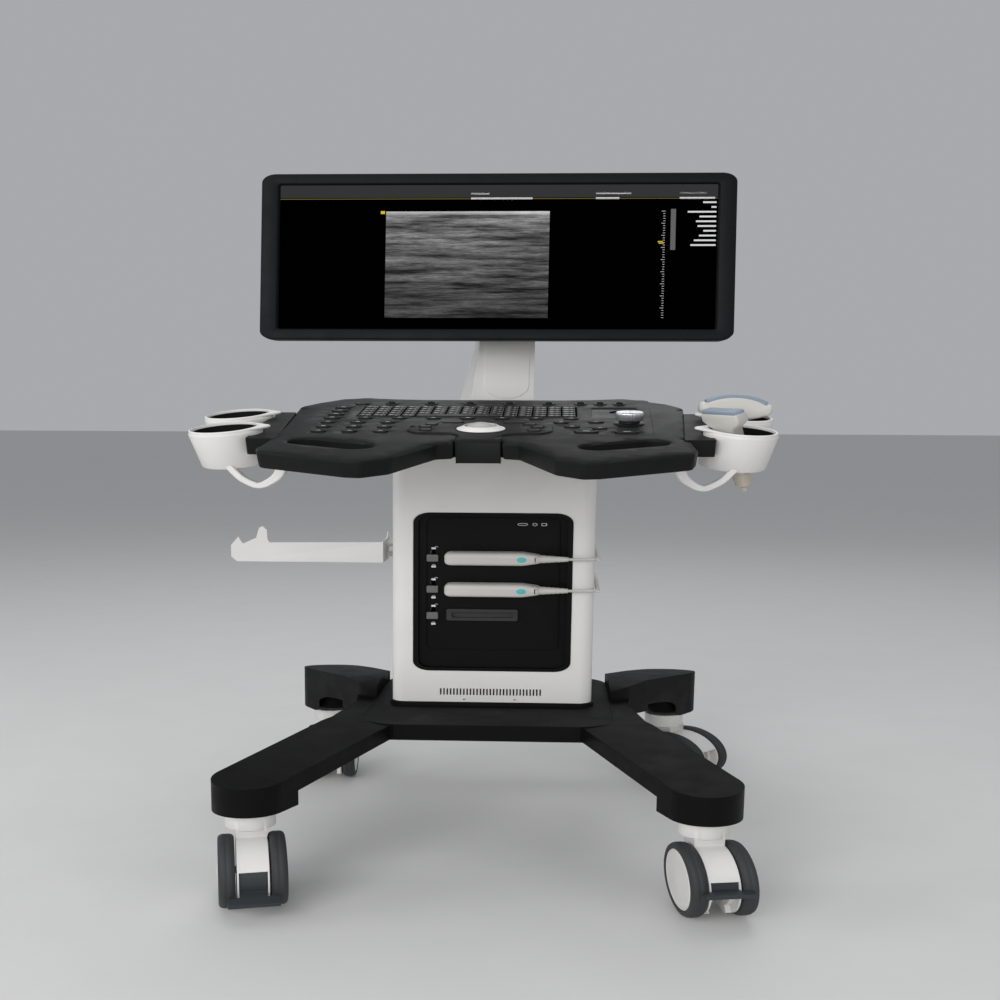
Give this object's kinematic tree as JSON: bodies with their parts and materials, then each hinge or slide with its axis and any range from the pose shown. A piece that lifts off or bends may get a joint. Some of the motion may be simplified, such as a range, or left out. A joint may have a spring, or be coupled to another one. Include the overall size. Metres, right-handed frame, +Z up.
{
  "type": "ultrasound scanner",
  "caption": "Ultrasound scanner on a four-legged caster trolley: tilting monitor on a swivel mast, sloping keyboard console with trackball, probe cups, and a column with probe sockets.",
  "frame": {"origin": "floor level on the trolley's mid-plane, 275 mm behind the swivel axes of the front casters", "axes": "+Z up, the operator stands on the -Y side, +X to the operator's right"},
  "size_m": [0.6903, 0.7065, 1.3914],
  "materials": {
    "white_moulding": "fine satin texture",
    "charcoal_moulding": "fine grained",
    "black_moulding": "fine grained",
    "key_plastic": "soft matt",
    "bezel_plastic": "fine grained",
    "screen_glass": "anti-glare",
    "window_glass": "polished",
    "probe_plastic": "satin",
    "cable_jacket": "soft satin",
    "tyre_rubber": "dull, lightly scuffed",
    "pedal_plastic": "fine grained",
    "frame_steel": "powder coat",
    "bright_steel": "zinc plated",
    "bracket_paint": "powder coat",
    "knob_metal": "knurled, satin",
    "circuit_board": "solder mask",
    "fan_plastic": "moulded"
  },
  "bodies": {
    "root": {"base_frame": "frame_steel", "hub_cover": "charcoal_moulding", "leg_covers": "charcoal_moulding", "column_frame": "frame_steel", "column_cover": "white_moulding", "rear_cover": "white_moulding", "connector_panel": "black_moulding", "probe_sockets": "black_moulding", "main_board": "circuit_board", "power_supply": "bright_steel", "fan_frame": "fan_plastic", "power_inlet": "black_moulding", "side_bracket": "bracket_paint", "screws": "bright_steel", "console_tray": "black_moulding", "console_deck": "black_moulding", "centre_trim": "black_moulding", "keyboard_plate": "black_moulding", "trackball_ring": "white_moulding", "display_window": "window_glass", "console_board": "circuit_board", "left_cups": "white_moulding", "right_cups": "white_moulding", "cup_arms": "black_moulding", "swivel_post": "bright_steel", "probe_cables": "cable_jacket"},
    "fan": {"fan_rotor": "fan_plastic"},
    "arm": {"monitor_arm": "white_moulding"},
    "yoke": {"monitor_yoke": "black_moulding"},
    "monitor": {"monitor_bezel": "bezel_plastic", "monitor_shell": "bezel_plastic", "lcd_panel": "screen_glass"},
    "keyboard": {"keyboard_keys": "key_plastic"},
    "soft_key_row": {"soft_keys": "key_plastic"},
    "button_field": {"function_buttons": "key_plastic"},
    "ball_key_ring": {"trackball_keys": "key_plastic"},
    "power": {"power_button": "key_plastic"},
    "ball": {"trackball": "white_moulding"},
    "gain": {"gain_knob": "knob_metal"},
    "lever_a": {"lock_lever_a": "probe_plastic"},
    "lever_b": {"lock_lever_b": "probe_plastic"},
    "lever_c": {"lock_lever_c": "probe_plastic"},
    "plug_a_body": {"plug_a": "probe_plastic"},
    "plug_b_body": {"plug_b": "probe_plastic"},
    "convex": {"convex_probe": "probe_plastic"},
    "linear": {"linear_probe": "probe_plastic"},
    "front_left_caster": {"front_left_fork": "white_moulding"},
    "front_left_wheels": {"front_left_hubs": "white_moulding", "front_left_tyres": "tyre_rubber"},
    "front_right_caster": {"front_right_fork": "white_moulding"},
    "front_right_wheels": {"front_right_hubs": "white_moulding", "front_right_tyres": "tyre_rubber"},
    "rear_left_caster": {"rear_left_fork": "white_moulding"},
    "rear_left_wheels": {"rear_left_hubs": "white_moulding", "rear_left_tyres": "tyre_rubber"},
    "rear_right_caster": {"rear_right_fork": "white_moulding"},
    "rear_right_wheels": {"rear_right_hubs": "white_moulding", "rear_right_tyres": "tyre_rubber"},
    "front_left_brake": {"front_left_pedal": "pedal_plastic"},
    "front_right_brake": {"front_right_pedal": "pedal_plastic"}
  },
  "joints": [
    {"name": "arm_swivel", "type": "hinge", "parent": "root", "child": "arm", "pos_m": [0, 0.14, 0.88], "axis": [0, 0, 1], "range_deg": [-45, 45]},
    {"name": "monitor_swivel", "type": "hinge", "parent": "arm", "child": "yoke", "pos_m": [0.01077, 0.07894, 1.175], "axis": [0, 0, 1], "range_deg": [-45, 45]},
    {"name": "monitor_tilt", "type": "hinge", "parent": "yoke", "child": "monitor", "pos_m": [0.01077, 0.05194, 1.212], "axis": [-1, 0, 0], "range_deg": [-10, 20]},
    {"name": "keyboard_press", "type": "slide", "parent": "root", "child": "keyboard", "axis": [0, 0.2588, -0.9659], "range_m": [0, 0.002]},
    {"name": "soft_key_press", "type": "slide", "parent": "root", "child": "soft_key_row", "axis": [0, 0.2588, -0.9659], "range_m": [0, 0.002]},
    {"name": "button_press", "type": "slide", "parent": "root", "child": "button_field", "axis": [0, 0.2588, -0.9659], "range_m": [0, 0.002]},
    {"name": "ball_key_press", "type": "slide", "parent": "root", "child": "ball_key_ring", "axis": [0, 0.2588, -0.9659], "range_m": [0, 0.002]},
    {"name": "power_press", "type": "slide", "parent": "root", "child": "power", "axis": [0, 0.2588, -0.9659], "range_m": [0, 0.002]},
    {"name": "trackball_roll", "type": "hinge", "parent": "root", "child": "ball", "pos_m": [-0.001, -0.23348, 0.86763], "axis": [1, 0, 0], "continuous": true},
    {"name": "gain_turn", "type": "hinge", "parent": "root", "child": "gain", "pos_m": [0.16, -0.191, 0.89454], "axis": [0, -0.2588, 0.9659], "continuous": true},
    {"name": "lever_a_slide", "type": "slide", "parent": "root", "child": "lever_a", "axis": [0, 0, 1], "range_m": [0, 0.01]},
    {"name": "lever_b_slide", "type": "slide", "parent": "root", "child": "lever_b", "axis": [0, 0, 1], "range_m": [0, 0.01]},
    {"name": "lever_c_slide", "type": "slide", "parent": "root", "child": "lever_c", "axis": [0, 0, 1], "range_m": [0, 0.01]},
    {"name": "plug_a_pull", "type": "slide", "parent": "root", "child": "plug_a_body", "axis": [0, -1, 0], "range_m": [0, 0.012]},
    {"name": "plug_b_pull", "type": "slide", "parent": "root", "child": "plug_b_body", "axis": [0, -1, 0], "range_m": [0, 0.012]},
    {"name": "convex_lift", "type": "slide", "parent": "root", "child": "convex", "axis": [0, 0, 1], "range_m": [0, 0.12]},
    {"name": "linear_lift", "type": "slide", "parent": "root", "child": "linear", "axis": [0, 0, 1], "range_m": [0, 0.12]},
    {"name": "fan_spin", "type": "hinge", "parent": "root", "child": "fan", "pos_m": [0, 0.195, 0.633], "axis": [0, 1, 0], "continuous": true},
    {"name": "front_left_swivel", "type": "hinge", "parent": "root", "child": "front_left_caster", "pos_m": [-0.25, -0.275, 0.14], "axis": [0, 0, 1], "continuous": true},
    {"name": "front_left_roll", "type": "hinge", "parent": "front_left_caster", "child": "front_left_wheels", "pos_m": [-0.24224, -0.30398, 0.0625], "axis": [0.9659, 0.2588, 0], "continuous": true},
    {"name": "front_left_brake_press", "type": "hinge", "parent": "front_left_caster", "child": "front_left_brake", "pos_m": [-0.24224, -0.30398, 0.0625], "axis": [0.9659, 0.2588, 0], "range_deg": [-27, 0]},
    {"name": "front_right_swivel", "type": "hinge", "parent": "root", "child": "front_right_caster", "pos_m": [0.25, -0.275, 0.14], "axis": [0, 0, 1], "continuous": true},
    {"name": "front_right_roll", "type": "hinge", "parent": "front_right_caster", "child": "front_right_wheels", "pos_m": [0.25521, -0.30454, 0.0625], "axis": [0.9848, 0.1736, 0], "continuous": true},
    {"name": "front_right_brake_press", "type": "hinge", "parent": "front_right_caster", "child": "front_right_brake", "pos_m": [0.25521, -0.30454, 0.0625], "axis": [0.9848, 0.1736, 0], "range_deg": [0, 27]},
    {"name": "rear_left_swivel", "type": "hinge", "parent": "root", "child": "rear_left_caster", "pos_m": [-0.247, 0.246, 0.14], "axis": [0, 0, 1], "continuous": true},
    {"name": "rear_left_roll", "type": "hinge", "parent": "rear_left_caster", "child": "rear_left_wheels", "pos_m": [-0.24438, 0.21611, 0.0625], "axis": [0.9962, 0.0872, 0], "continuous": true},
    {"name": "rear_right_swivel", "type": "hinge", "parent": "root", "child": "rear_right_caster", "pos_m": [0.247, 0.246, 0.14], "axis": [0, 0, 1], "continuous": true},
    {"name": "rear_right_roll", "type": "hinge", "parent": "rear_right_caster", "child": "rear_right_wheels", "pos_m": [0.26998, 0.22672, 0.0625], "axis": [0.6428, 0.766, 0], "continuous": true}
  ]
}
